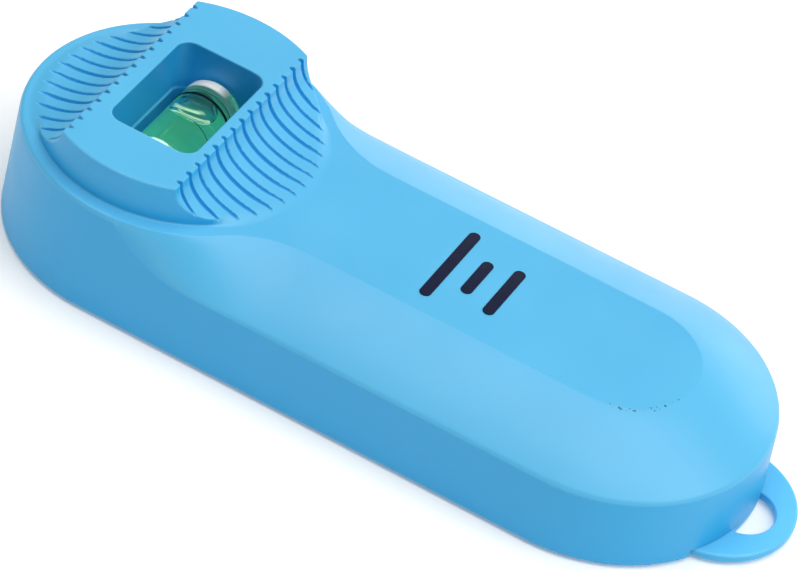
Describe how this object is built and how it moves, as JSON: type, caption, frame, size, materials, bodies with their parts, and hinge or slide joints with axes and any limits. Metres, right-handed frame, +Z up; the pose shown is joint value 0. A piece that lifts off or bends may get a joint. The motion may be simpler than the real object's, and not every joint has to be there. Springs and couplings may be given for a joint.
{
  "type": "stud finder",
  "caption": "Handheld magnetic stud finder: a long blue shell with a round grooved head, a level vial in a window across it, and a lanyard loop at the tail.",
  "frame": {"origin": "on the resting plane, under the middle of the overall length and width", "axes": "+X from the round head to the lanyard loop, +Y across the body along the vial, +Z up away from the wall side"},
  "size_m": [0.1068, 0.04, 0.0211],
  "materials": {
    "shell": "satin moulded ABS",
    "cover": "satin moulded ABS",
    "vial_clear": "clear acrylic",
    "vial_liquid": "clear green liquid",
    "vial_bubble": "air in liquid",
    "black_print": "printed ink",
    "white_plastic": "satin",
    "foam": "closed-cell foam",
    "steel": "zinc-plated",
    "magnet": "nickel-plated",
    "felt": "thin self-adhesive felt",
    "navy_print": "pad-printed ink"
  },
  "bodies": {
    "housing": {"top_shell": "shell", "base_cover": "cover", "vial_barrel": "vial_clear", "vial_end_plug": "white_plastic", "vial_liquid": "vial_liquid", "vial_ring_far": "black_print", "vial_ring_near": "black_print", "vial_retainer": "white_plastic", "vial_pad": "foam", "retainer_screw_1": "steel", "retainer_screw_2": "steel", "magnet_head_near": "magnet", "magnet_head_far": "magnet", "magnet_tail": "magnet", "keeper_plate_head": "steel", "keeper_plate_tail": "steel", "cover_screw_1": "steel", "cover_screw_2": "steel", "cover_screw_3": "steel", "cover_screw_4": "steel", "base_pad_head": "felt", "base_pad_tail": "felt", "mark_bar_1": "navy_print", "mark_bar_2": "navy_print", "mark_bar_3": "navy_print"},
    "bubble": {"vial_bubble": "vial_bubble"}
  },
  "joints": [
    {"name": "bubble_slide", "type": "slide", "parent": "housing", "child": "bubble", "axis": [0, 1, 0], "range_m": [-0.0064, 0]}
  ]
}
